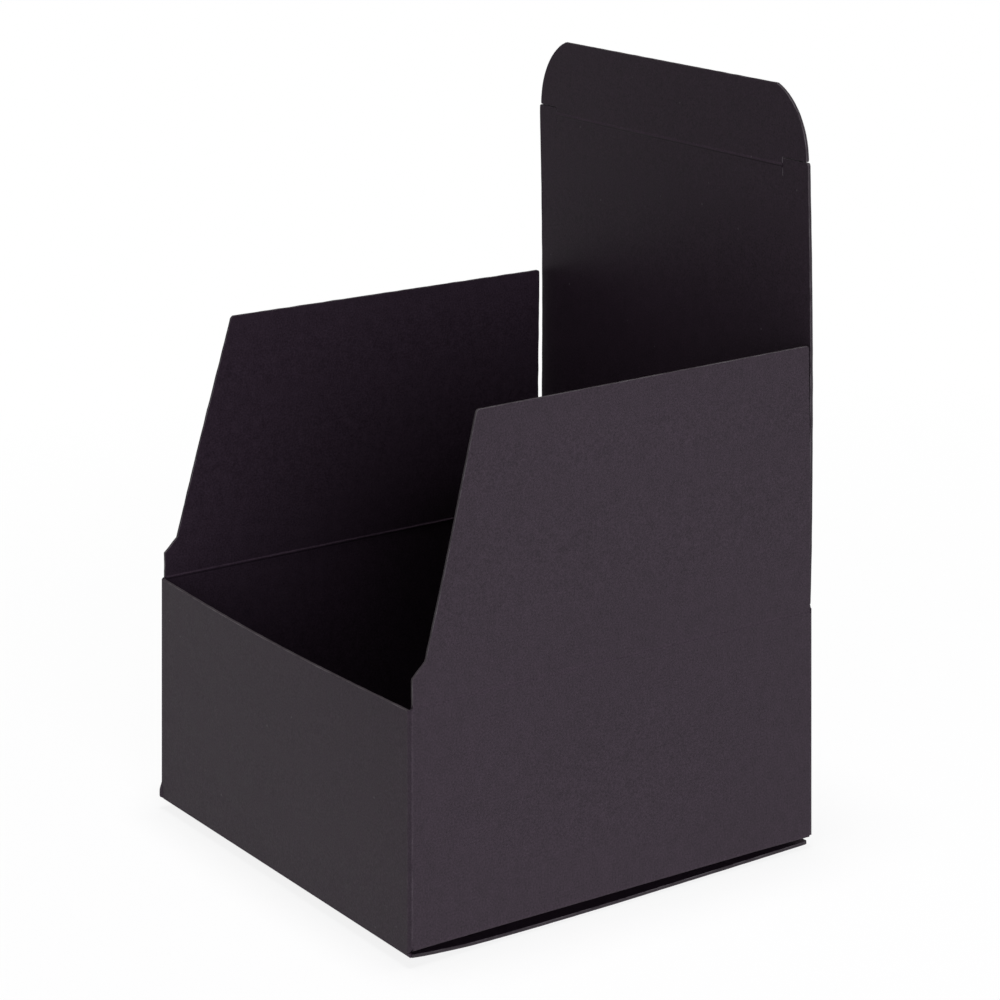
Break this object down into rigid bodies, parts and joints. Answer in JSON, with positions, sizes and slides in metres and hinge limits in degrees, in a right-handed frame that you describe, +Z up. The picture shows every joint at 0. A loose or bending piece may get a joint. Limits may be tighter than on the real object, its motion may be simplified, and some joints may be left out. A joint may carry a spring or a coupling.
{
  "type": "reverse tuck folding carton",
  "caption": "Black paperboard folding carton, standing open: lid with rounded tuck flap and slit locks upright, both top dust flaps upright, base tucked shut.",
  "frame": {"origin": "centre of the base on the resting plane, the underside of the bottom panel", "axes": "+Z up out of the open top, +X to the right seen from the front panel, +Y from the front panel to the back panel that carries the lid"},
  "size_m": [0.12, 0.1024, 0.1723],
  "materials": {
    "board": "matte, finely mottled through-dyed black board",
    "board_fold": "matte black board, slightly burnished along the score",
    "glue": "dry seam adhesive"
  },
  "bodies": {
    "sleeve": {"front_panel": "board", "left_side_panel": "board", "right_side_panel": "board", "back_panel": "board", "glue_flap": "board", "seam_glue": "glue", "fold_front_left": "board_fold", "fold_front_right": "board_fold", "fold_rear_right": "board_fold", "fold_rear_left": "board_fold", "lid_crease": "board_fold", "left_dust_crease": "board_fold", "right_dust_crease": "board_fold", "bottom_crease": "board_fold", "left_bottom_dust_crease": "board_fold", "right_bottom_dust_crease": "board_fold"},
    "lid": {"lid_panel": "board", "lid_tuck_crease": "board_fold"},
    "lid_tuck": {"lid_tuck_flap": "board"},
    "left_dust": {"left_dust_flap": "board"},
    "right_dust": {"right_dust_flap": "board"},
    "bottom": {"bottom_panel": "board", "bottom_tuck_crease": "board_fold"},
    "bottom_tuck": {"bottom_tuck_flap": "board"},
    "left_bottom_dust": {"left_bottom_dust_flap": "board"},
    "right_bottom_dust": {"right_bottom_dust_flap": "board"}
  },
  "joints": [
    {"name": "lid_hinge", "type": "hinge", "parent": "sleeve", "child": "lid", "pos_m": [0, 0.05087, 0.0545], "axis": [1, 0, 0], "range_deg": [-110, 90], "stiffness_Nm_per_rad": 0.02},
    {"name": "lid_tuck_hinge", "type": "hinge", "parent": "lid", "child": "lid_tuck", "pos_m": [0, 0.05087, 0.1536], "axis": [1, 0, 0], "range_deg": [-90, 90], "stiffness_Nm_per_rad": 0.004},
    {"name": "left_dust_hinge", "type": "hinge", "parent": "sleeve", "child": "left_dust", "pos_m": [-0.05962, 0, 0.0535], "axis": [0, 1, 0], "range_deg": [-110, 90], "stiffness_Nm_per_rad": 0.01},
    {"name": "right_dust_hinge", "type": "hinge", "parent": "sleeve", "child": "right_dust", "pos_m": [0.05962, 0, 0.0535], "axis": [0, -1, 0], "range_deg": [-110, 93], "stiffness_Nm_per_rad": 0.01},
    {"name": "bottom_hinge", "type": "hinge", "parent": "sleeve", "child": "bottom", "pos_m": [0, -0.05087, 0.00198], "axis": [1, 0, 0], "range_deg": [-110, 0], "stiffness_Nm_per_rad": 0.02},
    {"name": "bottom_tuck_hinge", "type": "hinge", "parent": "bottom", "child": "bottom_tuck", "pos_m": [0, 0.04822, 0.00076], "axis": [1, 0, 0], "range_deg": [-10, 12], "stiffness_Nm_per_rad": 0.004},
    {"name": "left_bottom_dust_hinge", "type": "hinge", "parent": "sleeve", "child": "left_bottom_dust", "pos_m": [-0.05925, 0, 0.00315], "axis": [0, 1, 0], "range_deg": [-60, 0], "stiffness_Nm_per_rad": 0.01},
    {"name": "right_bottom_dust_hinge", "type": "hinge", "parent": "sleeve", "child": "right_bottom_dust", "pos_m": [0.05925, 0, 0.00315], "axis": [0, -1, 0], "range_deg": [-60, 0], "stiffness_Nm_per_rad": 0.01}
  ]
}
